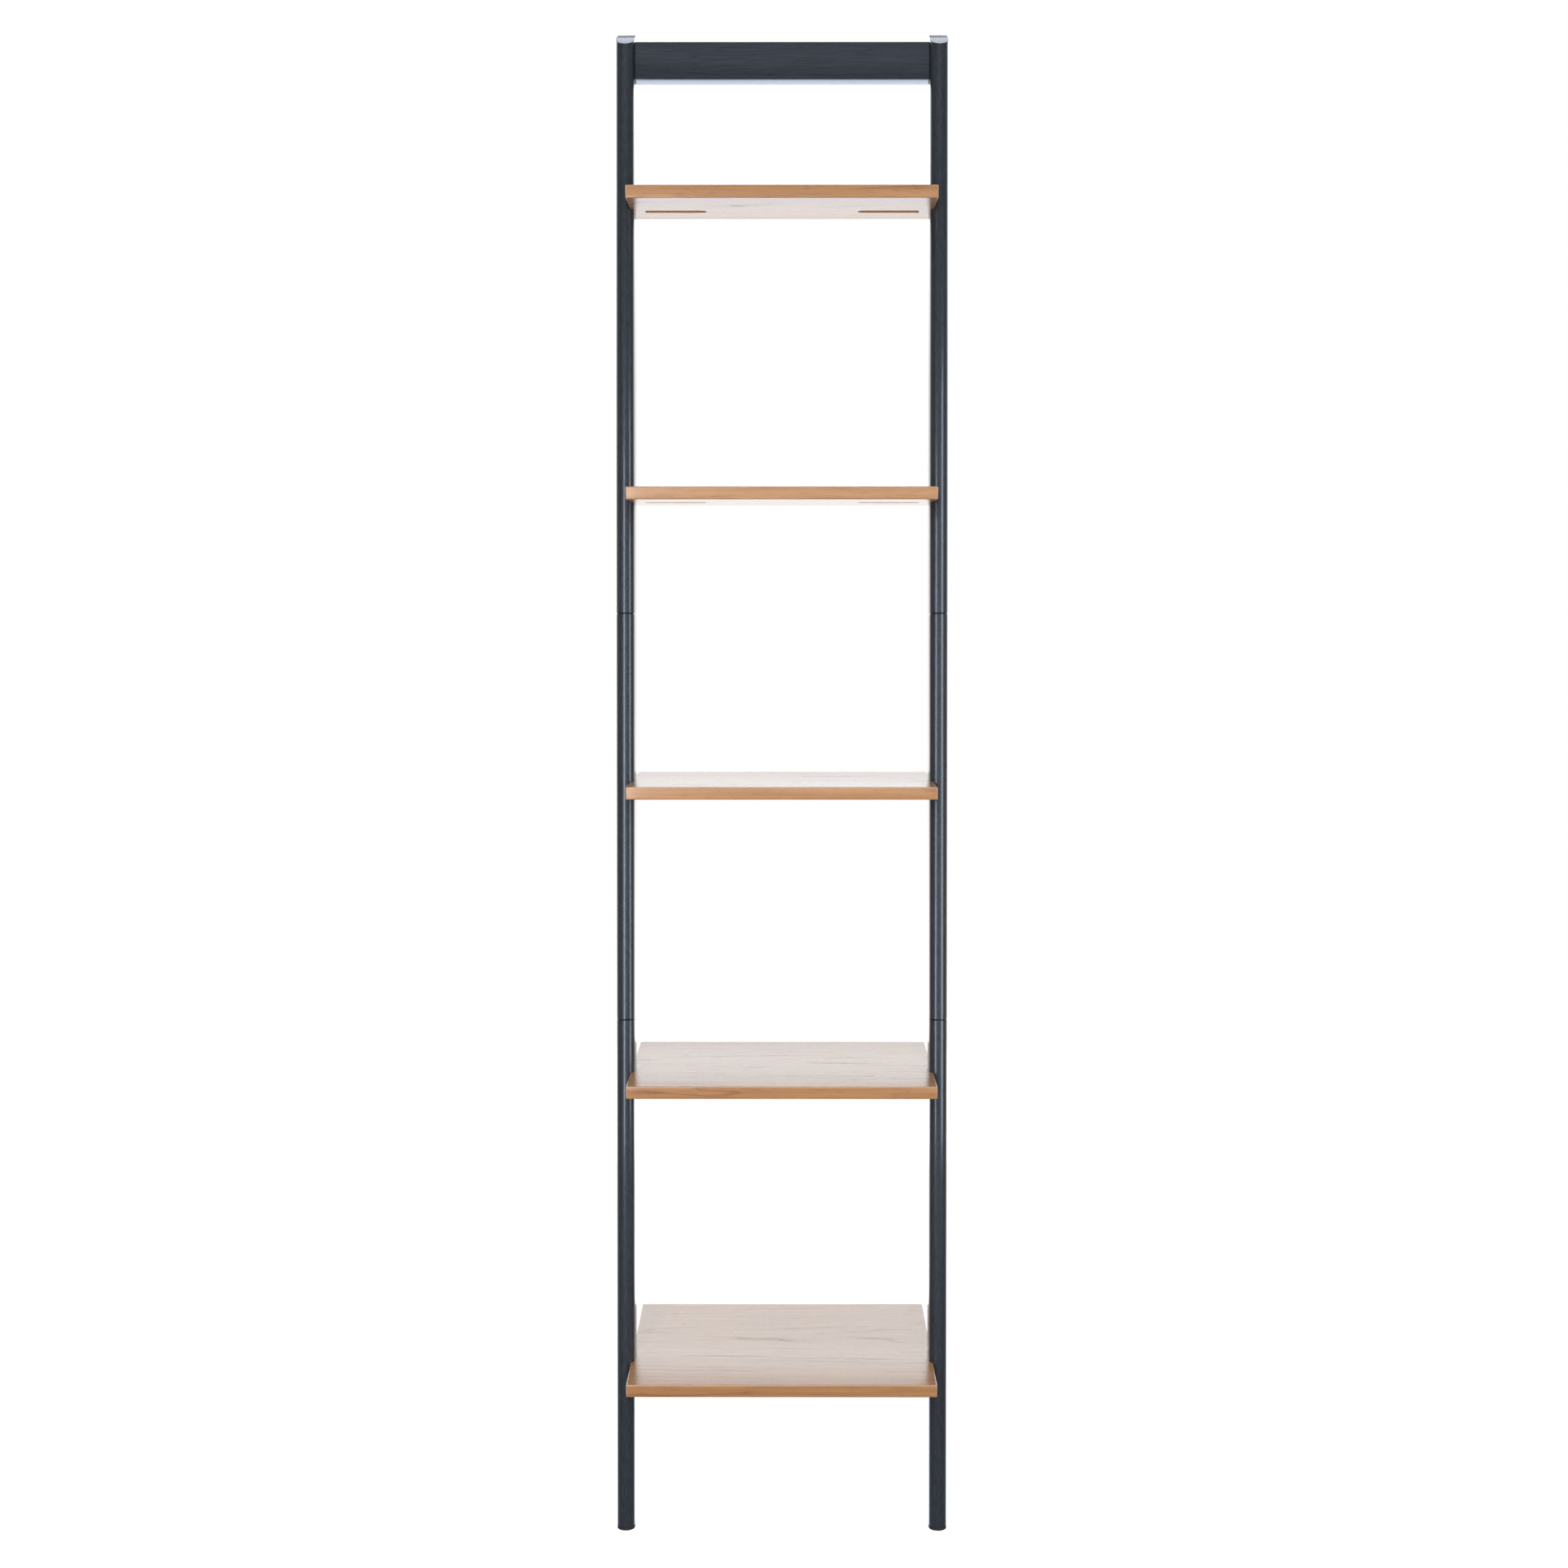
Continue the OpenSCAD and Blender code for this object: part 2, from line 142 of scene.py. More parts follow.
def make_piece(
    name: str,
    vertices: np.ndarray,
    faces: list[list[int]],
    materials: list[bpy.types.Material],
    marks: dict[str, np.ndarray] | None = None,
    choose: Callable[[np.ndarray], np.ndarray] | None = None,
) -> bpy.types.Object:
    """Makes a closed mesh from arrays, merges what coincides and turns the faces outwards.

    Args:
        name: the piece's name.
        vertices: one row of X, Y and Z in millimetres per vertex.
        faces: vertex numbers of each face.
        materials: the materials in slot order.
        marks: values per vertex, kept in the mesh as attributes that a material can read.
        choose: a function from face normals to slot numbers, if there are several materials.

    Returns:
        The finished object, at the origin and untransformed.
    """
    mesh = bpy.data.meshes.new(name)
    mesh.from_pydata((vertices * MM).tolist(), [], faces)
    for mark, values in (marks or {}).items():
        mesh.attributes.new(mark, "FLOAT", "POINT").data.foreach_set(
            "value", values.astype(np.float32)
        )
    shell = bmesh.new()
    shell.from_mesh(mesh)
    bmesh.ops.remove_doubles(shell, verts=shell.verts, dist=MERGE)
    bmesh.ops.dissolve_degenerate(shell, edges=shell.edges, dist=MERGE)
    bmesh.ops.recalc_face_normals(shell, faces=shell.faces)
    shell.to_mesh(mesh)
    shell.free()
    mesh.shade_smooth()
    mesh.set_sharp_from_angle(angle=SHARP_EDGE)
    for material in materials:
        mesh.materials.append(material)
    if choose is not None:
        normals = np.empty(len(mesh.polygons) * 3, np.float32)
        mesh.polygons.foreach_get("normal", normals)
        mesh.polygons.foreach_set("material_index", choose(normals.reshape(-1, 3)))
    mesh.update()
    piece = bpy.data.objects.new(name, mesh)
    bpy.context.scene.collection.objects.link(piece)
    return piece


def hand_over(piece: bpy.types.Object, slot: str, *nodes: str) -> None:
    """Rides a finished piece on the frame, in place of the CAD nodes it stands for.

    Args:
        piece: the finished object.
        slot: not used.
        nodes: the CAD nodes that are hidden behind it.
    """
    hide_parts(*nodes)
    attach(piece, "root")
    LOG.info("%s stands for %s: %d faces", piece.name, ", ".join(nodes), len(piece.data.polygons))


def quarter(radius: float, steps: int) -> tuple[np.ndarray, np.ndarray]:
    """Inset and setback of each step of a quarter-round edge.

    At angle a the surface is radius * (1 - sin a) short of the end and inset by
    radius * (1 - cos a), so it leaves the side smoothly and meets the end squarely.

    Args:
        radius: radius of the rounding.
        steps: how many steps the quarter turn has.

    Returns:
        The insets and the setbacks, from the side to the end.
    """
    angle = np.linspace(0, math.pi / 2, steps + 1)
    return radius * (1 - np.cos(angle)), radius * (1 - np.sin(angle))


# ---- Finishes ----


def linear(hex_colour: str) -> tuple[float, float, float, float]:
    """Turns an sRGB colour such as "#8a6a4c" into linear red, green, blue and alpha.

    Args:
        hex_colour: the colour as six hex digits after a hash sign.

    Returns:
        The linear colour with an alpha of 1.
    """
    channel = np.array([int(hex_colour[i : i + 2], 16) for i in (1, 3, 5)]) / 255
    low, high = channel / 12.92, ((channel + 0.055) / 1.055) ** 2.4
    return (*np.where(channel <= 0.04045, low, high).tolist(), 1.0)


def add(
    tree: bpy.types.NodeTree,
    kind: str,
    settings: dict[str, Any] | None = None,
    inputs: dict[str | int, Any] | None = None,
) -> bpy.types.Node:
    """Adds a node, gives it its settings, and sets or links its inputs.

    Args:
        tree: the node tree it goes into.
        kind: the node's type name.
        settings: the node's own properties.
        inputs: for each input, by name or number, a value, another node's output, or another
            node, which stands for the first of its outputs that is in use.

    Returns:
        The new node.
    """
    node = tree.nodes.new(kind)
    for name, value in (settings or {}).items():
        setattr(node, name, value)
    for key, value in (inputs or {}).items():
        if isinstance(value, bpy.types.Node):
            value = next(output for output in value.outputs if output.enabled)
        if isinstance(value, bpy.types.NodeSocket):
            tree.links.new(value, node.inputs[key])
        else:
            node.inputs[key].default_value = value
    return node


def new_material(name: str) -> tuple[bpy.types.Material, bpy.types.NodeTree]:
    """An empty material of that name, and its node tree."""
    material = bpy.data.materials.new(name)
    material.use_nodes = True
    material.node_tree.nodes.clear()
    return material, material.node_tree


def per_metre(*sizes_mm: float) -> tuple[float, ...]:
    """Mapping scale along each axis at which a noise pattern has features of that size."""
    return tuple(1000 / size for size in sizes_mm)


@dataclass(frozen=True)
class Grain:
    """Where a piece was cut from the log: what the ring pattern does on it.

    The log's pith runs along the grain's own X. The piece lies below it by depth, and the
    pith climbs by tilt, so that a flat face cuts the rings in long arches.
    """

    centre: tuple[float, float, float]
    turn: tuple[float, float, float] = (0.0, 0.0, 0.0)
    depth: float = 60.0
    tilt: float = 0.06


@dataclass(frozen=True)
class Wood:
    """Wood under satin lacquer, with rings, streaks and open pores.

    Real pores are about 0.2 mm wide, too fine to show, so they are drawn several times as
    wide. Rings and streaks are at their real size.
    """

    name: str
    pale: str
    mid: str
    dark: str
    pore: str
    ring_mm: float
    ring_depth: float
    streak_mm: tuple[float, float, float]
    pore_mm: tuple[float, float, float]
    pore_amount: float
    drift_mm: tuple[float, float, float]
    roughness: float
    ior: float
    coat: float
    coat_roughness: float
    bump_mm: float
    streak_depth: float = 0.75
    streak_relief: float = 0.5
    dulling: float = 0.05
    # Colour painted on the eased edges: a painted highlight when pale, painted shade when dark.
    edge_highlight_and_shade: str = ""

    def material(self, label: str, grain: Grain) -> bpy.types.Material:
        """Builds the wood for one piece.

        The distance from the pith, bent by noise, is cut into rings; each ring is pale and
        ends in a thin dark line, which fades away in patches. Streaks and pores are noise
        drawn out along the grain, and lines and pores are duller than the wood between them.

        Args:
            label: what the piece is, added to the material's name.
            grain: where the piece was cut from the log.

        Returns:
            The material.
        """
        material, tree = new_material(f"{self.name}_{label}")
        node = partial(add, tree)
        place = node("ShaderNodeTexCoord")
        centred = node(
            "ShaderNodeVectorMath", {"operation": "SUBTRACT"},
            {0: place.outputs["Object"], 1: tuple(c * MM for c in grain.centre)},
        )
        along = node(
            "ShaderNodeVectorRotate", {"rotation_type": "EULER_XYZ"},
            {"Vector": centred, "Rotation": grain.turn},
        )
        noises = {}
        for use, (sizes, detail) in {
            "bend": (BEND_MM, 2.0),
            "fade": (FADE_MM, 1.0),
            "ripple": (RIPPLE_MM, 2.0),
            "streaks": (self.streak_mm, 4.0),
            "drift": (self.drift_mm, 1.0),
            "pores": (self.pore_mm, 2.0),
        }.items():
            scaled = node("ShaderNodeMapping", {}, {"Vector": along, "Scale": per_metre(*sizes)})
            noises[use] = node(
                "ShaderNodeTexNoise", {}, {"Vector": scaled, "Scale": 1.0, "Detail": detail}
            )
        ring = self.ring_mm * MM
        axes = node("ShaderNodeSeparateXYZ", {}, {"Vector": along})
        climb = node(
            "ShaderNodeMath", {"operation": "MULTIPLY_ADD"},
            {0: axes.outputs["X"], 1: math.tan(grain.tilt), 2: grain.depth * MM},
        )
        lifted = node("ShaderNodeMath", {}, {0: axes.outputs["Z"], 1: climb})
        radial = node("ShaderNodeCombineXYZ", {}, {"Y": axes.outputs["Y"], "Z": lifted})
        radius = node("ShaderNodeVectorMath", {"operation": "LENGTH"}, {0: radial})
        bent = node(
            "ShaderNodeMath", {"operation": "MULTIPLY_ADD"},
            {0: noises["bend"], 1: BEND_RINGS * ring, 2: radius.outputs["Value"]},
        )
        rippled = node(
            "ShaderNodeMath", {"operation": "MULTIPLY_ADD"},
            {0: noises["ripple"], 1: RIPPLE_RINGS * ring, 2: bent},
        )
        turns = node("ShaderNodeMath", {"operation": "DIVIDE"}, {0: rippled, 1: ring})
        phase = node("ShaderNodeMath", {"operation": "FRACT"}, {0: turns})
        rings = node("ShaderNodeValToRGB", {}, {"Fac": phase})
        stops = rings.color_ramp.elements
        for number, (position, level) in enumerate(RING_STOPS):
            stop = stops[number] if number < 2 else stops.new(position)
            stop.position, stop.color = position, (level, level, level, 1.0)
        shown = node(
            "ShaderNodeMapRange", {"interpolation_type": "SMOOTHSTEP"},
            {"Value": noises["fade"], "From Min": FADE_RANGE[0], "From Max": FADE_RANGE[1],
             "To Min": self.ring_depth * FAINTEST_RING, "To Max": self.ring_depth},
        )
        lines = node("ShaderNodeMath", {"operation": "MULTIPLY"}, {0: rings, 1: shown})
        pores = node(
            "ShaderNodeMapRange", {"interpolation_type": "SMOOTHSTEP"},
            {"Value": noises["pores"], "From Min": PORE_RANGE[0], "From Max": PORE_RANGE[1],
             "To Min": 0.0, "To Max": self.pore_amount},
        )
        pale = node(
            "ShaderNodeMix", {"data_type": "RGBA"},
            {0: noises["drift"], 6: linear(self.pale), 7: linear(self.mid)},
        )
        spread = node(
            "ShaderNodeMapRange", {},
            {"Value": noises["streaks"], "From Min": STREAK_RANGE[0], "From Max": STREAK_RANGE[1],
             "To Min": 0.0, "To Max": self.streak_depth},
        )
        depth = node("ShaderNodeMath", {}, {0: lines, 1: spread})
        dark = node(
            "ShaderNodeMix", {"data_type": "RGBA", "clamp_factor": True},
            {0: depth, 6: pale, 7: linear(self.dark)},
        )
        colour = node(
            "ShaderNodeMix", {"data_type": "RGBA"}, {0: pores, 6: dark, 7: linear(self.pore)}
        )
        # Painted light on the eased edges, through the edge mark: painted shade on the stained
        # pieces, a painted highlight on the shelves.
        if self.edge_highlight_and_shade:
            edge = node("ShaderNodeAttribute", {"attribute_name": "edge"})
            colour = node(
                "ShaderNodeMix", {"data_type": "RGBA"},
                {0: edge.outputs["Fac"], 6: colour, 7: linear(self.edge_highlight_and_shade)},
            )
        raised = node(
            "ShaderNodeMath", {"operation": "MULTIPLY"},
            {0: noises["streaks"], 1: self.streak_relief},
        )
        height = node("ShaderNodeMath", {"operation": "SUBTRACT"}, {0: raised, 1: pores})
        relief = node(
            "ShaderNodeBump", {}, {"Height": height, "Distance": self.bump_mm * MM, "Strength": 1.0}
        )
        marks = node("ShaderNodeMath", {}, {0: lines, 1: pores})
        gloss = node(
            "ShaderNodeMapRange", {},
            {"Value": marks, "From Min": 0.0, "From Max": 1.0,
             "To Min": self.roughness, "To Max": self.roughness + self.dulling},
        )
        shader = node(
            "ShaderNodeBsdfPrincipled", {},
            {
                "Base Color": colour, "Roughness": gloss, "IOR": self.ior,
                "Coat Weight": self.coat, "Coat Roughness": self.coat_roughness,
                "Normal": relief,
            },
        )
        node("ShaderNodeOutputMaterial", {}, {"Surface": shader})
        return material


@dataclass(frozen=True)
class Metal:
    """Metal with a fine mottle in its colour and gloss, as plating or turning leaves."""

    name: str
    colour: str
    shade: str
    roughness: float
    mottle_mm: float
    brushed: float = 1.0
    smoother: float = 0.06
    rougher: float = 0.08
    relief_mm: float = 0.03

    def material(self) -> bpy.types.Material:
        """Builds the metal: noise mixes two close tones and moves the roughness a little.

        Returns:
            The material.
        """
        material, tree = new_material(self.name)
        place = add(tree, "ShaderNodeTexCoord")
        size = self.mottle_mm
        mapped = add(
            tree, "ShaderNodeMapping", {},
            {"Vector": place.outputs["Object"],
             "Scale": per_metre(size * self.brushed, size, size)},
        )
        mottle = add(
            tree, "ShaderNodeTexNoise", {},
            {"Vector": mapped, "Scale": 1.0, "Detail": 3.0},
        )
        tone = add(
            tree, "ShaderNodeMix", {"data_type": "RGBA"},
            {0: mottle, 6: linear(self.colour), 7: linear(self.shade)},
        )
        gloss = add(
            tree, "ShaderNodeMapRange", {},
            {"Value": mottle, "From Min": 0.3, "From Max": 0.7,
             "To Min": self.roughness - self.smoother, "To Max": self.roughness + self.rougher},
        )
        relief = add(
            tree, "ShaderNodeBump", {},
            {"Height": mottle, "Distance": self.relief_mm * MM, "Strength": 0.5},
        )
        shader = add(
            tree, "ShaderNodeBsdfPrincipled", {},
            {"Base Color": tone, "Metallic": 1.0, "Roughness": gloss,
             "Normal": relief},
        )
        add(tree, "ShaderNodeOutputMaterial", {}, {"Surface": shader})
        return material


@dataclass(frozen=True)
class Rubber:
    """Moulded rubber: near black, matte, with a fine spark-eroded texture from its mould."""

    name: str = "moulded_rubber"
    colour: str = "#242426"
    dust: str = "#3a3936"
    texture_mm: float = 0.8
    texture_depth_mm: float = 0.1
    dust_mm: float = 9.0

    def material(self) -> bpy.types.Material:
        """Builds the rubber: fine noise for the texture, and coarse noise for floor dust.

        Returns:
            The material.
        """
        material, tree = new_material(self.name)
        place = add(tree, "ShaderNodeTexCoord")
        where = place.outputs["Object"]
        fine = add(
            tree, "ShaderNodeTexNoise", {},
            {"Vector": where, "Scale": 1000 / self.texture_mm, "Detail": 2.0},
        )
        coarse = add(
            tree, "ShaderNodeTexNoise", {},
            {"Vector": where, "Scale": 1000 / self.dust_mm, "Detail": 3.0},
        )
        tone = add(
            tree, "ShaderNodeMix", {"data_type": "RGBA"},
            {0: coarse, 6: linear(self.colour), 7: linear(self.dust)},
        )
        relief = add(
            tree, "ShaderNodeBump", {},
            {"Height": fine, "Distance": self.texture_depth_mm * MM, "Strength": 0.6},
        )
        shader = add(
            tree, "ShaderNodeBsdfPrincipled", {},
            {"Base Color": tone, "Roughness": 0.8, "Normal": relief},
        )
        add(tree, "ShaderNodeOutputMaterial", {}, {"Surface": shader})
        return material


# Rubberwood or similar, stained charcoal and sprayed with satin lacquer: nearly black with a
# cool cast, and the grain shows only as fine lines and a soft sheen.
# Its eased ends and edges are painted near black: a painted shade for the grooves where the
# sections butt.
CHARCOAL = Wood(
    name="charcoal_stained_wood", pale="#363e48", mid="#2b323b", dark="#1a1f26", pore="#0d1014",
    ring_mm=7.0, ring_depth=0.35, streak_mm=(45.0, 1.1, 1.1), pore_mm=(16.0, 0.9, 0.9),
    pore_amount=0.6, drift_mm=(400.0, 30.0, 30.0), roughness=0.3, ior=1.5, coat=0.4,
    coat_roughness=0.1, bump_mm=0.03, dulling=0.12, edge_highlight_and_shade="#0c0d10",
)
# Oak veneer sprayed with satin lacquer: warm light brown, long streaks, and a clear sheen
# that takes over the colour where it is seen along the board.
# Its upper eased edges are painted pale: a painted highlight.
VENEER = Wood(
    name="lacquered_oak_veneer", pale="#c4976c", mid="#b5855a", dark="#946540", pore="#6b4629",
    ring_mm=11.0, ring_depth=0.8, streak_mm=(150.0, 4.5, 4.5), pore_mm=(14.0, 1.1, 1.1),
    pore_amount=0.4, drift_mm=(500.0, 50.0, 50.0), roughness=0.26, ior=1.5, coat=0.0,
    coat_roughness=0.2, bump_mm=0.03, streak_depth=0.4, streak_relief=0.04, dulling=0.14,
    edge_highlight_and_shade="#e2c29c",
)
# Turned beech dowels, bare: pale pink-brown with short flecks.
BEECH = Wood(
    name="bare_beech", pale="#d2ab83", mid="#c89d73", dark="#b48658", pore="#8f6640",
    ring_mm=3.0, ring_depth=0.3, streak_mm=(20.0, 0.8, 0.8), pore_mm=(3.0, 0.5, 0.5),
    pore_amount=0.4, drift_mm=(60.0, 9.0, 9.0), roughness=0.55, ior=1.5, coat=0.0,
    coat_roughness=0.3, bump_mm=0.03,
)
# Zinc-plated steel: a cool grey with a faint cloudy mottle from the plating bath.
ZINC = Metal("zinc_plated_steel", "#c6c9cd", "#a9adb3", 0.34, 2.5)
# Turned brass, dull from the lathe.
BRASS = Metal("turned_brass", "#cdaa62", "#b08d48", 0.3, 1.2, 3.0)


# ---- The leaning frame ----


@dataclass(frozen=True)
class Rake:
    """The sizes that place everything, in millimetres, and the plane that the posts lean in."""

    overall_w: float = 400.0
    overall_h: float = 1800.0
    bottom_d: float = 300.0
    top_d: float = 150.0
    base_room: float = 202.0
    head_room: float = 200.0
    overhang: float = 74.0
    gaps: int = 4

    @property
    def pitch(self) -> float:
        """Height from one shelf to the next."""
        return (self.overall_h - self.base_room - self.head_room) / self.gaps

    @property
    def lean(self) -> float:
        """Lean of the posts from upright, in radians."""
        return math.atan((self.bottom_d - self.top_d) / (self.gaps * self.pitch))

    @property
    def foot_y(self) -> float:
        """Depth at which the line of the post noses meets the floor."""
        return self.overhang - self.bottom_d / 2 - self.base_room * math.tan(self.lean)

    def shelf_z(self, number: int) -> float:
        """Height of a shelf's top face, counted from the bottom."""
        return self.base_room + number * self.pitch

    def length_at(self, z: np.ndarray | float, v: np.ndarray | float) -> np.ndarray | float:
        """Length along a post at which a line v behind its nose line reaches height z."""
        return (z + v * math.sin(self.lean)) / math.cos(self.lean)

    def place(self, x: np.ndarray, v: np.ndarray, u: np.ndarray) -> np.ndarray:
        """Turns points of the leaning frame into the row frame.

        A point is x across, v square back from the nose line and u along it. Y is foot_y plus
        v * cos(lean) + u * sin(lean), and Z is u * cos(lean) - v * sin(lean).

        Args:
            x: distances across.
            v: distances behind the nose line.
            u: lengths along the nose line.

        Returns:
            One row of X, Y and Z per point.
        """
        sine, cosine = math.sin(self.lean), math.cos(self.lean)
        x, v, u = np.broadcast_arrays(x, v, u)
        return np.stack([x, self.foot_y + v * cosine + u * sine, u * cosine - v * sine], -1)


RAKE = Rake()


# ---- Posts ----


@dataclass
class Post:
    """One post in three butted sections: a half-round nose, flat sides and a flat back."""

    side: Side
    rake: Rake = RAKE
    width: float = 22.0
    depth: float = 38.0
    back_radius: float = 2.0
    ease: float = 1.0
    end_ease: float = 0.35
    housing: float = 5.0
    shelf_t: float = 15.0
    slack: float = 0.2
    pad_t: float = 4.0
    bevel_depth: float = 18.3
    bevel_angle: float = math.radians(37)
    crown_angle: float = math.radians(26)
    lower_rise: float = 64.0
    upper_rise: float = 203.0
    shade_radii: float = 1.5  # the painted shade fades out this many radii from an end,
    edge_fade: float = 1.0  # and this many millimetres more
    nose_steps: int = 26
    flat_steps: int = 8
    corner_steps: int = 6
    ease_steps: int = 5

    @property
    def centre_x(self) -> float:
        """Distance from the middle of the shelf to the post's own middle."""
        return (self.rake.overall_w - self.width) / 2

    @property
    def length(self) -> float:
        """Length along the nose line at the post's highest point."""
        lean = self.rake.lean
        return (self.rake.overall_h + self.depth * math.sin(lean)) / math.cos(lean)

    @property
    def joints(self) -> tuple[float, float]:
        """Lengths along the post at which its sections butt."""
        cosine = math.cos(self.rake.lean)
        return (
            self.rake.shelf_z(1) / cosine + self.lower_rise,
            self.rake.shelf_z(2) / cosine + self.upper_rise,
        )

    def outline(self, inset: float) -> tuple[np.ndarray, np.ndarray]:
        """Half of the section's outline, from the nose tip to the middle of the back.

        The nose is a quarter circle about a point half the width behind the tip, the side is
        straight, and the back corner is a quarter circle of back_radius.

        Args:
            inset: how far the outline is drawn in all round.

        Returns:
            Half widths, and depths behind the nose line.
        """
        centre = self.width / 2
        radius = centre - inset
        nose = np.linspace(0, math.pi / 2, self.nose_steps + 1)
        corner = np.linspace(0, math.pi / 2, self.corner_steps + 1)[1:]
        back = self.depth - inset
        side_v = np.union1d(
            np.linspace(centre, back - self.back_radius, self.flat_steps + 1)[1:],
            [self.bevel_depth],
        )
        half = np.concatenate([
            radius * np.sin(nose),
            np.full(len(side_v), radius),
            radius - self.back_radius * (1 - np.cos(corner)),
        ])
        behind = np.concatenate([
            centre - radius * np.cos(nose),
            side_v,
            back - self.back_radius * (1 - np.sin(corner)),
        ])
        return half, behind

    def top_at(self, v: np.ndarray) -> np.ndarray:
        """Length at which the bevel and the crown cut a line v behind the nose line.

        The bevel climbs from the nose at its own slope, and the crown goes on from there to
        the back at a shallower one.

        Args:
            v: distances behind the nose line.

        Returns:
            The length along the post of each.
        """
        high = self.length - (self.depth - self.bevel_depth) * math.tan(self.crown_angle)
        angle = np.where(v < self.bevel_depth, self.bevel_angle, self.crown_angle)
        return high + (v - self.bevel_depth) * np.tan(angle)

    def end_at(self, cut: Cut, u: float, v: np.ndarray) -> np.ndarray:
        """Length at which an end cuts lines v behind the nose line.

        Args:
            cut: the kind of end.
            u: length along the post of a butted end, or height of a level one.
            v: distances behind the nose line.

        Returns:
            The length along the post of each.
        """
        if cut is Cut.LEVEL:
            return self.rake.length_at(u, v)
        if cut is Cut.CROWN:
            return self.top_at(v)
        return np.full_like(v, u)

    @staticmethod
    def end_shade(share: float) -> float:
        """How much painted shade an eased end gets, from a fifth where it starts to full half way
        round.
        """
        return min(1.0, 0.2 + 1.6 * share)

    def rings(
        self, low: tuple[Cut, float], high: tuple[Cut, float], shelves: tuple[int, ...]
    ) -> tuple[np.ndarray, np.ndarray]:
        """All rings of a section from its low end to its high end, and their edge marks.

        Each ring is the outline at some inset, with its length along the post given by the end
        it belongs to. At a housing two rings at the same height have the same outline, but
        one has its inner side cut back flat, so the housing's floor and ledges appear.

        Args:
            low: kind and place of the low end.
            high: kind and place of the high end.
            shelves: numbers of the shelves let into this section.

        Returns:
            Points as (ring, point, xyz) and marks of painted shade as (ring, point), 1 on an eased
            edge.
        """
        inner = self.width / 2 - self.housing
        rows: list[np.ndarray] = []
        marks: list[float] = []

        def ring(
            inset: float,
            length: Callable[[np.ndarray], np.ndarray],
            mark: float,
            cut_back: bool = False,
        ) -> None:
            """Adds one ring.

            Args:
                inset: how far the outline is drawn in.
                length: the length along the post, from the depths behind the nose line.
                mark: how much painted edge shade the ring shows.
                cut_back: whether the inner side stops at a housing's floor.
            """
            half, v = self.outline(inset)
            x = np.concatenate([half, -half[::-1]])
            v = np.concatenate([v, v[::-1]])
            if cut_back:
                x = np.maximum(x, -inner)
            x = self.side.value * (self.centre_x + x)
            rows.append(self.rake.place(x, v, length(v)))
            marks.append(mark)

        def end(cut: Cut, u: float, inwards: int) -> None:
            """Adds the rings of one eased end.

            Args:
                cut: the kind of end.
                u: its length along the post, or its height if it is level.
                inwards: 1 at the low end, -1 at the high.
            """
            radius = self.ease if cut is Cut.BUTT else self.end_ease
            insets, setbacks = quarter(radius, self.ease_steps)
            # Painted shade: the rings near the end darken towards the edge.
            plain = self.shade_radii * radius + self.edge_fade
            steps = [(plain, 0.0, 0.0)]
            steps += [(s, i, self.end_shade(i / radius)) for i, s in zip(insets, setbacks)]
            for setback, inset, mark in steps[:: -inwards]:
                ring(inset, lambda v, s=setback: self.end_at(cut, u, v) + inwards * s, mark)

        end(*low, 1)
        for number in shelves:
            top = self.rake.shelf_z(number) + self.slack
            bottom = top - self.slack - self.shelf_t
            for height, before in ((bottom, False), (top, True)):
                level = partial(self.rake.length_at, height)
                ring(0.0, level, 0.0, before)
                ring(0.0, level, 0.0, not before)
        end(*high, -1)
        points = np.stack(rows)
        return points, np.repeat(np.array(marks)[:, None], points.shape[1], 1)

    def section(
        self,
        part: str,
        low: tuple[Cut, float],
        high: tuple[Cut, float],
        shelves: tuple[int, ...],
        wood: bpy.types.Material,
    ) -> bpy.types.Object:
        """Builds one section and puts it in place of its CAD node.

        Args:
            part: lower, middle or upper.
            low: kind and place of the low end.
            high: kind and place of the high end.
            shelves: numbers of the shelves let into it.
            wood: its material.

        Returns:
            The finished piece.
        """
        points, marks = self.rings(low, high, shelves)
        rings, around, _ = points.shape
        faces = tube_faces(rings, around).tolist()
        faces += paired_cap(0, around // 2) + paired_cap((rings - 1) * around, around // 2)
        node = f"post_{self.side.name.lower()}_{part}"
        piece = make_piece(
            f"stained_{node}", points.reshape(-1, 3), faces, [wood], {"edge": marks.ravel()}
        )
        hand_over(piece, "charcoal_wood", node)
        return piece

    def build(self) -> list[bpy.types.Object]:
        """Builds the three sections, each cut from its own place in the log.

        Returns:
            The finished pieces, from the floor up.
        """
        lower, upper = self.joints
        ends = (
            ("lower", (Cut.LEVEL, self.pad_t), (Cut.BUTT, lower), (0, 1)),
            ("middle", (Cut.BUTT, lower), (Cut.BUTT, upper), (2,)),
            ("upper", (Cut.BUTT, upper), (Cut.CROWN, 0.0), (3, 4)),
        )
        pieces = []
        for number, (part, low, high, shelves) in enumerate(ends):
            # Every section is cut elsewhere: its own centre, depth from the pith and tilt.
            grain = Grain(
                centre=(self.side.value * self.centre_x, 40.0 * number, 300.0 + 520.0 * number),
                turn=(0.0, math.pi / 2, 0.0),
                depth=38.0 + 9.0 * number + 5.0 * self.side.value,
                tilt=0.03 * self.side.value * (1 - 0.6 * number),
            )
            wood = CHARCOAL.material(f"post_{self.side.name.lower()}_{part}", grain)
            pieces.append(self.section(part, low, high, shelves, wood))
        return pieces


# ---- Bars with bolt pockets ----


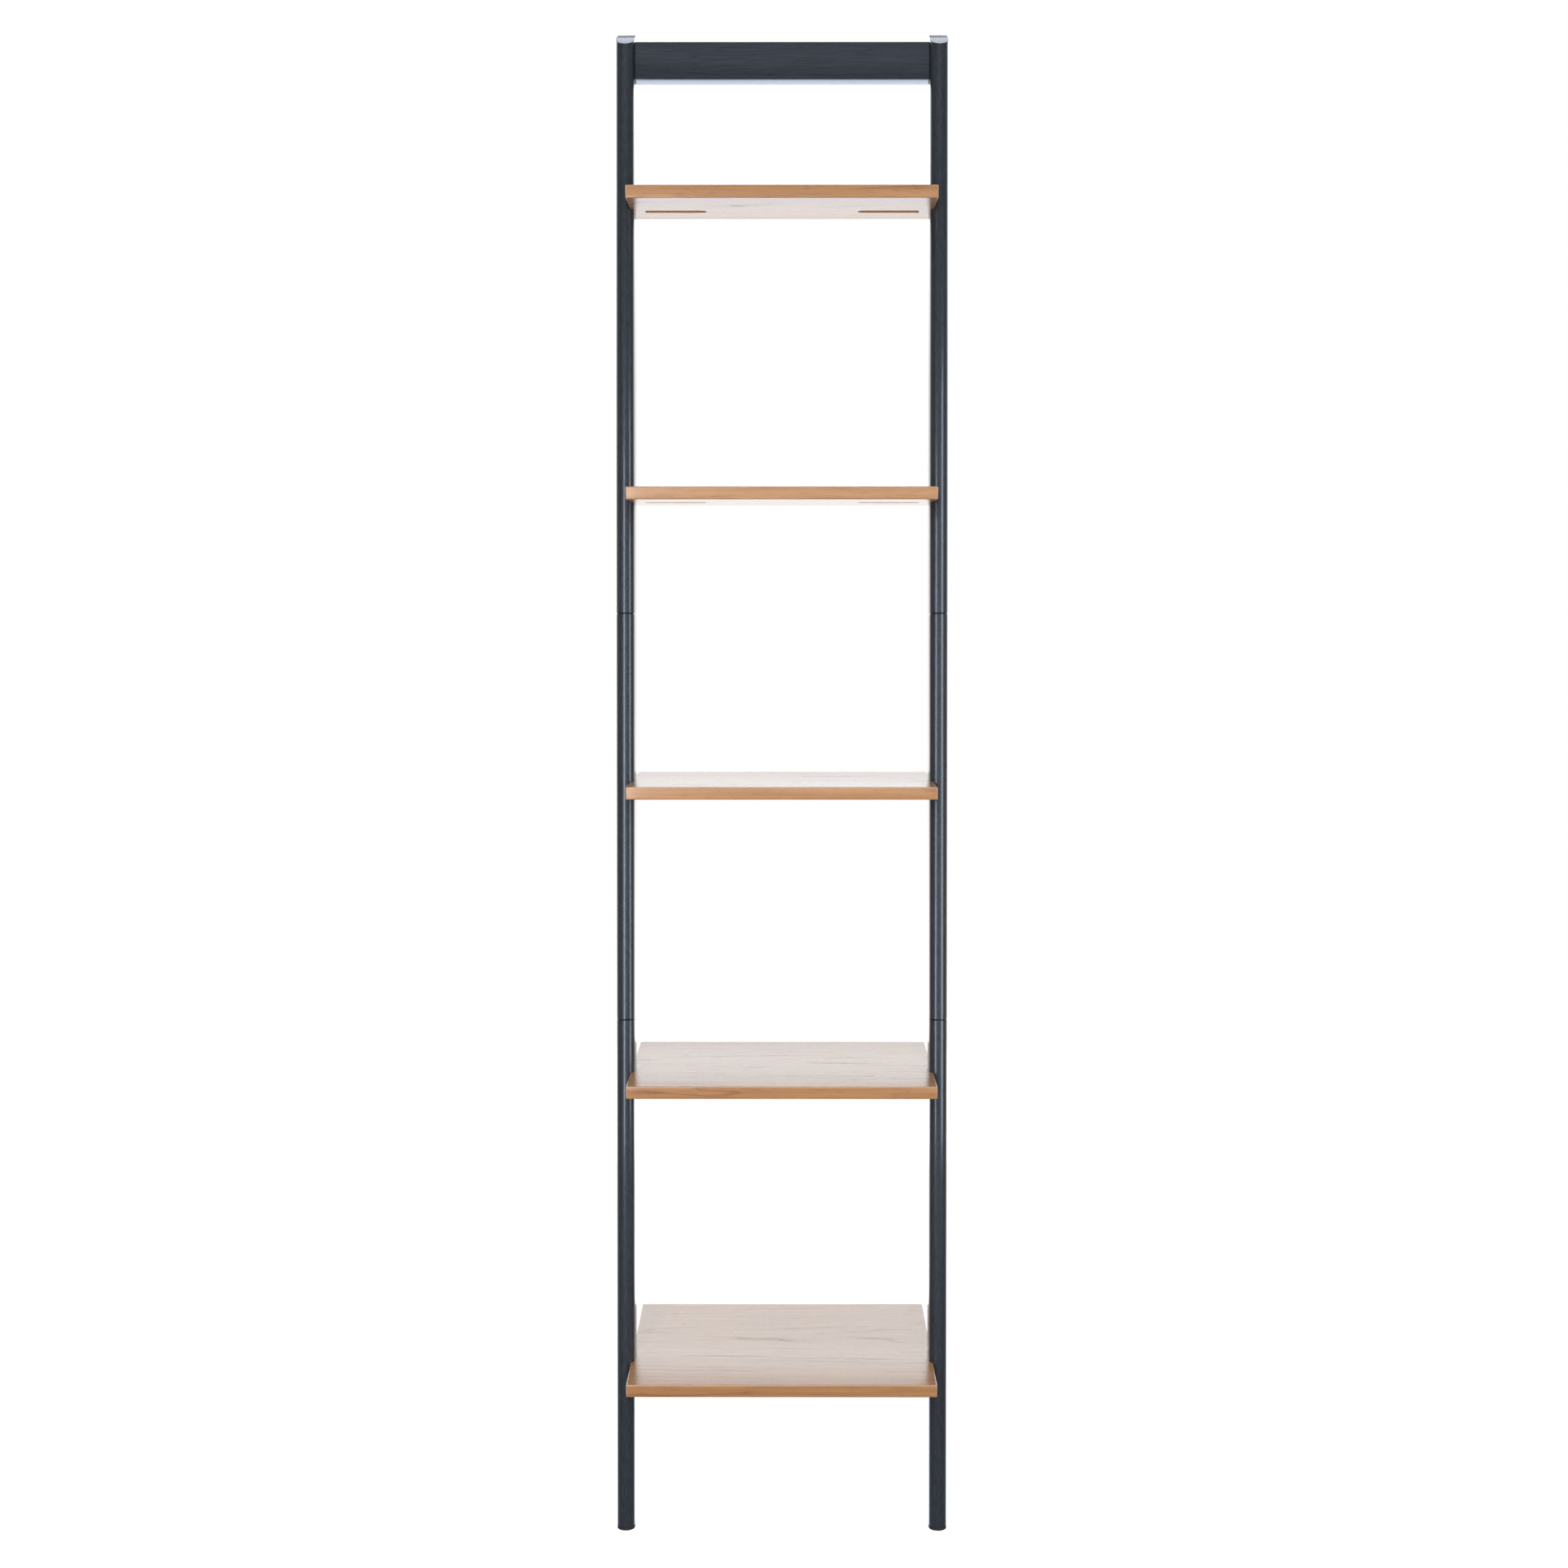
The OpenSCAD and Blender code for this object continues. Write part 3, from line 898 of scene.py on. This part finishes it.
@dataclass
class PocketedBar:
    """A bar with every edge eased and a bolt pocket near each end of one face.

    Its own axes are x along it, a across it and b up from the face with the pockets. A pocket
    has a flat end for the bolt head, towards the bar's end, and a round end inwards.
    """

    length: float
    across: float
    thick: float
    ease: float
    pocket_wall: float
    pocket_length: float
    pocket_width: float
    pocket_depth: float
    pocket_a: float
    corner_steps: int = 6
    round_steps: int = 12

    def ring(self, inset: float, half: float, depth: float) -> tuple[np.ndarray, np.ndarray]:
        """The bar's section: a rectangle with quarter-round corners and a notch in one face.

        Args:
            inset: how far the outline is drawn in all round.
            half: half the notch's width here.
            depth: the notch's depth here.

        Returns:
            The a and b coordinates round the section, starting with the notch.
        """
        radius = max(self.ease - inset, LEAST_RADIUS)
        angle = np.linspace(0, math.pi / 2, self.corner_steps + 1)
        low = inset + radius
        a_high, b_high = self.across - low, self.thick - low
        sine, cosine = radius * np.sin(angle), radius * np.cos(angle)
        notch_a = self.pocket_a + np.array([-half, -half, half, half])
        notch_b = inset + np.array([0.0, depth, depth, 0.0])
        a = np.concatenate([notch_a, a_high + sine, a_high + cosine, low - sine, low - cosine])
        b = np.concatenate([notch_b, low - cosine, b_high + sine, b_high + cosine, low - sine])
        return a, b

    def stations(self) -> list[tuple[float, float, float, float]]:
        """The rings of the half with positive x, from the middle to the end.

        Returns:
            Place along x, inset, notch half width and notch depth of each.
        """
        half, full = self.pocket_width / 2, self.pocket_depth
        outer = self.length / 2 - self.pocket_wall
        start = outer - self.pocket_length
        turn = np.linspace(0, math.pi / 2, self.round_steps + 1)
        rows = [(0.0, 0.0, half, 0.0), (start, 0.0, 0.0, 0.0)]
        rows += [
            (start + half * (1 - math.cos(t)), 0.0, half * math.sin(t), full) for t in turn.tolist()
        ]
        rows += [(outer, 0.0, half, full), (outer, 0.0, half, 0.0)]
        insets, setbacks = quarter(self.ease, self.corner_steps)
        rows += [(self.length / 2 - s, i, half, 0.0) for i, s in zip(insets, setbacks)]
        return rows

    def surface(self) -> tuple[np.ndarray, np.ndarray, list[list[int]]]:
        """The whole bar: the stations of one half, mirrored in x = 0 for the other.

        Returns:
            The x, a, b coordinates of every vertex, its edge mark, and the faces.
        """
        right = self.stations()
        rows = [(-x, i, h, d) for x, i, h, d in right[::-1]] + right[1:]
        rings = []
        for x, inset, half, depth in rows:
            a, b = self.ring(inset, half, depth)
            rings.append(np.stack([np.full_like(a, x), a, b], -1))
        points = np.stack(rings)
        count, around, _ = points.shape
        faces = tube_faces(count, around).tolist()
        faces += [list(range(around)), list(range((count - 1) * around, count * around))]
        flat = points.reshape(-1, 3)
        gap_x = self.length / 2 - np.abs(flat[:, 0])
        gap_a = np.minimum(flat[:, 1], self.across - flat[:, 1])
        gap_b = np.minimum(flat[:, 2], self.thick - flat[:, 2])
        near = np.sort(np.stack([gap_x, gap_a, gap_b]), 0)[1]
        return flat, np.clip(1 - near / self.ease, 0, 1), faces


@dataclass
class Shelf:
    """One shelf board: veneered faces with the grain along it, and banded ends."""

    name: str
    number: int
    grain: Grain
    rake: Rake = RAKE
    length: float = 366.0
    thick: float = 15.0
    ease: float = 1.5
    post_depth: float = 38.0
    post_width: float = 22.0
    pocket_wall: float = 17.5
    pocket_length: float = 74.0
    pocket_width: float = 16.0
    pocket_depth: float = 11.5

    @property
    def depth(self) -> float:
        """Depth from the front edge to the wall."""
        return self.rake.bottom_d - self.number * self.rake.pitch * math.tan(self.rake.lean)

    def build(self) -> bpy.types.Object:
        """Builds the board in place of its CAD node.

        Returns:
            The finished piece.
        """
        rake = self.rake
        top = rake.shelf_z(self.number)
        front = rake.bottom_d / 2 - self.depth
        spine = (self.post_width / 4 + self.post_depth) / 2
        bolt_y = rake.foot_y + top * math.tan(rake.lean) + spine / math.cos(rake.lean)
        bar = PocketedBar(
            self.length, self.depth, self.thick, self.ease, self.pocket_wall,
            self.pocket_length, self.pocket_width, self.pocket_depth, bolt_y - front,
        )
        local, marks, faces = bar.surface()
        # Only the upper edges take the pale edge tone, a painted highlight: none at half height,
        # full at 5/6.
        marks = marks * np.clip(3 * local[:, 2] / self.thick - 1.5, 0, 1)
        points = local + np.array([0.0, front, top - self.thick])
        node = f"shelf_{self.name}"
        ends = Grain(self.grain.centre, (0.0, 0.0, math.pi / 2), self.grain.depth, 0.0)
        piece = make_piece(
            f"veneered_{node}", points, faces,
            [VENEER.material(self.name, self.grain), VENEER.material(f"{self.name}_ends", ends)],
            {"edge": marks},
            lambda normal: (np.abs(normal[:, 0]) > FACES_END).astype(np.int32),
        )
        hand_over(piece, "shelf_veneer", node)
        return piece


@dataclass
class TopRail:
    """The stained rail between the posts, with its bolt pockets in the back face."""

    rake: Rake = RAKE
    length: float = 356.0
    height: float = 45.0
    thick: float = 20.0
    setback: float = 14.0
    top: float = 1798.0104
    ease: float = 0.8
    pocket_wall: float = 17.5
    pocket_length: float = 60.0
    pocket_width: float = 16.0
    pocket_depth: float = 15.2

    def build(self) -> bpy.types.Object:
        """Builds the rail in place of its CAD node.

        Returns:
            The finished piece.
        """
        bar = PocketedBar(
            self.length, self.height, self.thick, self.ease, self.pocket_wall,
            self.pocket_length, self.pocket_width, self.pocket_depth, self.height / 2,
        )
        local, marks, faces = bar.surface()
        x, a, b = local.T
        points = self.rake.place(x, self.setback + self.thick - b, self.top - self.height + a)
        grain = Grain((30.0, 100.0, 1760.0), (self.rake.lean, 0.0, 0.0), 44.0, 0.02)
        wood = CHARCOAL.material("top_rail", grain)
        # Every eased edge of the rail takes the charcoal's painted shade, through the edge marks.
        piece = make_piece("stained_top_rail", points, faces, [wood], {"edge": marks})
        hand_over(piece, "charcoal_wood", "top_rail")
        return piece


# ---- Feet and hardware ----


@dataclass
class Hardware:
    """The nodes that keep their CAD meshes, and the finish of each."""

    zinc: tuple[str, ...] = (
        "tenon_left_lower", "tenon_left_upper", "tenon_right_lower", "tenon_right_upper",
        "tenon_screws", "shelf_bolts", "shelf_washers", "rail_bolts", "rail_washers",
        "wall_bracket_left", "wall_bracket_right", "bracket_screws",
    )
    brass: tuple[str, ...] = ("shelf_inserts", "rail_inserts")
    beech: tuple[str, ...] = ("rail_dowels",)
    rubber: tuple[str, ...] = ("foot_pad_left", "foot_pad_right")

    def dress(self) -> None:
        """Gives every CAD node that stays in view its finish."""
        dowel = Grain((0.0, 100.0, 1760.0), depth=20.0)
        finishes = (
            (self.zinc, ZINC.material()),
            (self.brass, BRASS.material()),
            (self.beech, BEECH.material("dowel", dowel)),
            (self.rubber, Rubber().material()),
        )
        for names, material in finishes:
            for name in names:
                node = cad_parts[name]
                if not node.material_slots:
                    node.data.materials.append(material)
                for slot in node.material_slots:
                    slot.material = material
                LOG.info("%s keeps its CAD mesh in %s", name, material.name)


# ---- Studio ----


@dataclass(frozen=True)
class Softbox:
    """A soft rectangular light that the camera doesn't see."""

    name: str
    place: tuple[float, float, float]
    width: float
    height: float
    power: float
    tint: str = "#ffffff"
    reach: Reach = Reach.ALL

    def build(self, aim: tuple[float, float, float]) -> None:
        """Hangs the light and turns it towards the aim.

        Args:
            aim: the point it faces.
        """
        data = bpy.data.lights.new(self.name, "AREA")
        data.shape, data.size, data.size_y = "RECTANGLE", self.width, self.height
        data.energy, data.color = self.power, linear(self.tint)[:3]
        lamp = bpy.data.objects.new(self.name, data)
        bpy.context.scene.collection.objects.link(lamp)
        lamp.location = self.place
        across, back, up = (a - p for a, p in zip(aim, self.place))
        tip = math.atan2(up, math.hypot(across, back))
        lamp.rotation_euler = (math.pi / 2 + tip, 0.0, -math.atan2(across, back))
        lamp.visible_camera = False
        lamp.visible_glossy = self.reach is not Reach.COLOUR
        lamp.visible_diffuse = self.reach is not Reach.SHINE


@dataclass
class Studio:
    """White surroundings that glow, and soft lights that the camera doesn't see.

    Two strips stand in front, to the left and right, and draw the narrow bright lines down the
    posts. A fill in front lights the colours, an overhead lights the bevels, and a low panel
    behind adds sheen to the bottom shelf.
    """

    # Elevation in degrees, brightness and tint of the glow behind the shelf, then in front.
    behind: tuple[tuple[float, float, str], ...] = (
        (-90, 0.3, "#ffffff"), (-40, 0.45, "#ffffff"), (-36, 1.0, "#dce8ff"), (-30, 4.0, "#dae8fb"),
        (-24, 4.0, "#dae8fb"), (-19, 3.2, "#e6eeff"), (-14, 2.2, "#fffaf4"), (-10, 2.18, "#fff8f2"),
        (-2.5, 1.52, "#fff9f3"), (5, 1.3, "#fffcfc"), (12, 2.62, "#f5fbff"), (18.5, 3.0, "#f0faff"),
        (20.5, 3.9, "#f0faff"), (22.5, 4.0, "#f0faff"), (24.5, 0.7, "#ffffff"),
        (26, 0.2, "#ffffff"), (90, 0.2, "#ffffff"),
    )
    front: tuple[tuple[float, float, str], ...] = (
        (-90, 0.1, "#ffffff"), (-14, 0.12, "#ffffff"), (-6, 0.5, "#eef3ff"), (12, 0.6, "#eef3ff"),
        (18, 0.15, "#eef3ff"), (21, 0.15, "#eef3ff"), (26, 1.0, "#e4ecff"), (38, 0.7, "#e4ecff"),
        (50, 0.1, "#ffffff"), (90, 0.1, "#ffffff"),
    )
    side_glow: float = 0.25
    # Y of a ray's direction at which the glow in front and behind begins, and where it is full.
    facing_y: tuple[float, float] = (-0.6, -0.95)
    beyond_y: tuple[float, float] = (0.35, 0.8)
    aim_height: float = 1.0
    lights: tuple[Softbox, ...] = (
        Softbox("strip_left", (-0.415, -0.92, 1.0), 0.26, 1.15, 7.2, "#e4efff", Reach.SHINE),
        Softbox("strip_right", (0.616, -0.41, 1.0), 0.26, 1.15, 5.2, "#e4efff", Reach.SHINE),
        Softbox("overhead", (0.0, 2.6, 4.6), 1.6, 0.9, 16.0, "#e6efff", Reach.SHINE),
        Softbox("front_fill", (0.0, -2.2, 1.2), 1.2, 1.2, 43.0, "#fff9f2", Reach.COLOUR),
        Softbox("low_panel", (0.0, 0.34, 0.42), 0.8, 0.16, 0.85, "#e8f6ff", Reach.SHINE),
    )

    floor_half: float = 4.0
    floor_drop: float = 0.0003
    floor_glow: float = 0.7
    # Where the camera stands, and its tip downwards and turn to the left in degrees.
    camera_place: tuple[float, float, float] = (0.00996, -2.65433, 1.12718)
    camera_tip: float = 6.914
    camera_turn: float = 0.129
    lens_mm: float = 50.726
    sensor_mm: float = 36.0
    shift: tuple[float, float] = (-0.0008, 0.0488)
    clip: tuple[float, float] = (0.05, 60.0)

    def world(self) -> None:
        """White to the camera; to every other ray, a glow that depends on its direction.

        Behind the shelf and in front of it the glow follows the ray's elevation through a ramp
        each, and at the sides it is even and faint. They meet smoothly as the ray swings round.
        """
        world = bpy.data.worlds.new("studio_glow")
        bpy.context.scene.world = world
        world.use_nodes = True
        tree = world.node_tree
        tree.nodes.clear()
        place = add(tree, "ShaderNodeTexCoord")
        axes = add(tree, "ShaderNodeSeparateXYZ", {}, {"Vector": place.outputs["Generated"]})
        height = add(
            tree, "ShaderNodeMapRange", {},
            {"Value": axes.outputs["Z"], "From Min": -1.0, "From Max": 1.0},
        )
        peak = max(level for _, level, _ in self.behind + self.front)
        ramps = []
        for elevations in (self.behind, self.front):
            ramp = add(tree, "ShaderNodeValToRGB", {}, {"Fac": height})
            stops = ramp.color_ramp.elements
            for number, (elevation, level, tint) in enumerate(elevations):
                position = (math.sin(math.radians(elevation)) + 1) / 2
                stop = stops[number] if number < 2 else stops.new(position)
                stop.position = position
                stop.color = (*(level / peak * c for c in linear(tint)[:3]), 1.0)
            ramps.append(ramp)
        facing, beyond = (
            add(
                tree, "ShaderNodeMapRange", {"interpolation_type": "SMOOTHSTEP"},
                {"Value": axes.outputs["Y"], "From Min": none, "From Max": full},
            )
            for none, full in (self.facing_y, self.beyond_y)
        )
        side = self.side_glow / peak
        before = add(
            tree, "ShaderNodeMix", {"data_type": "RGBA"},
            {0: facing, 6: (side, side, side, 1.0), 7: ramps[1]},
        )
        glow = add(
            tree, "ShaderNodeMix", {"data_type": "RGBA"}, {0: beyond, 6: before, 7: ramps[0]}
        )
        lit = add(tree, "ShaderNodeBackground", {}, {"Color": glow, "Strength": peak})
        white = add(tree, "ShaderNodeBackground", {}, {"Color": (1, 1, 1, 1), "Strength": 1.0})
        path = add(tree, "ShaderNodeLightPath")
        mixed = add(
            tree, "ShaderNodeMixShader", {},
            {0: path.outputs["Is Camera Ray"], 1: lit, 2: white},
        )
        add(tree, "ShaderNodeOutputWorld", {}, {"Surface": mixed})

    def floor(self) -> None:
        """A plain white floor just under the feet, kept out of the wood's reflections."""
        half = self.floor_half
        corners = [(-half, -half), (half, -half), (half, half), (-half, half)]
        mesh = bpy.data.meshes.new("studio_floor")
        mesh.from_pydata([(x, y, -self.floor_drop) for x, y in corners], [], [(0, 1, 2, 3)])
        material, tree = new_material("matt_white_floor")
        shader = add(
            tree, "ShaderNodeBsdfPrincipled", {},
            {"Base Color": linear("#f4f4f4"), "Roughness": 1.0, "Specular IOR Level": 0.0,
             "Emission Color": (1, 1, 1, 1), "Emission Strength": self.floor_glow},
        )
        add(tree, "ShaderNodeOutputMaterial", {}, {"Surface": shader})
        mesh.materials.append(material)
        floor = bpy.data.objects.new("studio_floor", mesh)
        bpy.context.scene.collection.objects.link(floor)
        floor.visible_glossy = False
        floor.visible_diffuse = False

    def camera(self) -> None:
        """The camera, almost on the middle line, at chest height and tipped slightly down."""
        data = bpy.data.cameras.new("camera")
        data.lens, data.sensor_width = self.lens_mm, self.sensor_mm
        data.shift_x, data.shift_y = self.shift
        data.clip_start, data.clip_end = self.clip
        camera = bpy.data.objects.new("camera", data)
        bpy.context.scene.collection.objects.link(camera)
        camera.location = self.camera_place
        tip, turn = math.radians(90 - self.camera_tip), math.radians(self.camera_turn)
        camera.rotation_euler = (tip, 0.0, turn)
        bpy.context.scene.camera = camera

    def build(self) -> None:
        """Sets the camera, the light and the floor."""
        bpy.context.scene.view_settings.view_transform = "Standard"
        self.camera()
        self.world()
        self.floor()
        for light in self.lights:
            light.build((0.0, 0.0, min(self.aim_height, light.place[2])))


# ---- The whole shelf ----


@dataclass
class LadderShelf:
    """The whole piece of furniture: two posts, the rail, five shelves and the hardware."""

    posts: tuple[Post, ...] = (Post(Side.LEFT), Post(Side.RIGHT))
    rail: TopRail = field(default_factory=TopRail)
    shelves: tuple[Shelf, ...] = (
        Shelf("bottom", 0, Grain((-20.0, 25.0, 200.0), depth=58.0, tilt=-0.075)),
        Shelf("lower", 1, Grain((-60.0, 30.0, 550.0), depth=55.0, tilt=-0.05)),
        Shelf("middle", 2, Grain((20.0, 90.0, 900.0), depth=80.0, tilt=0.04)),
        Shelf("upper", 3, Grain((0.0, 40.0, 1250.0), depth=60.0, tilt=0.06)),
        Shelf("top", 4, Grain((-30.0, 60.0, 1590.0), depth=65.0, tilt=-0.06)),
    )
    hardware: Hardware = field(default_factory=Hardware)

    def build(self) -> None:
        """Builds the sub-assemblies in the order they would be put together."""
        for post in self.posts:
            post.build()
        self.rail.build()
        for shelf in self.shelves:
            shelf.build()
        self.hardware.dress()


def main() -> None:
    """Builds the studio and the shelf."""
    logging.basicConfig(level=logging.INFO, format="%(name)s: %(message)s")
    Studio().build()
    LadderShelf().build()


if __name__ == "__main__":
    main()
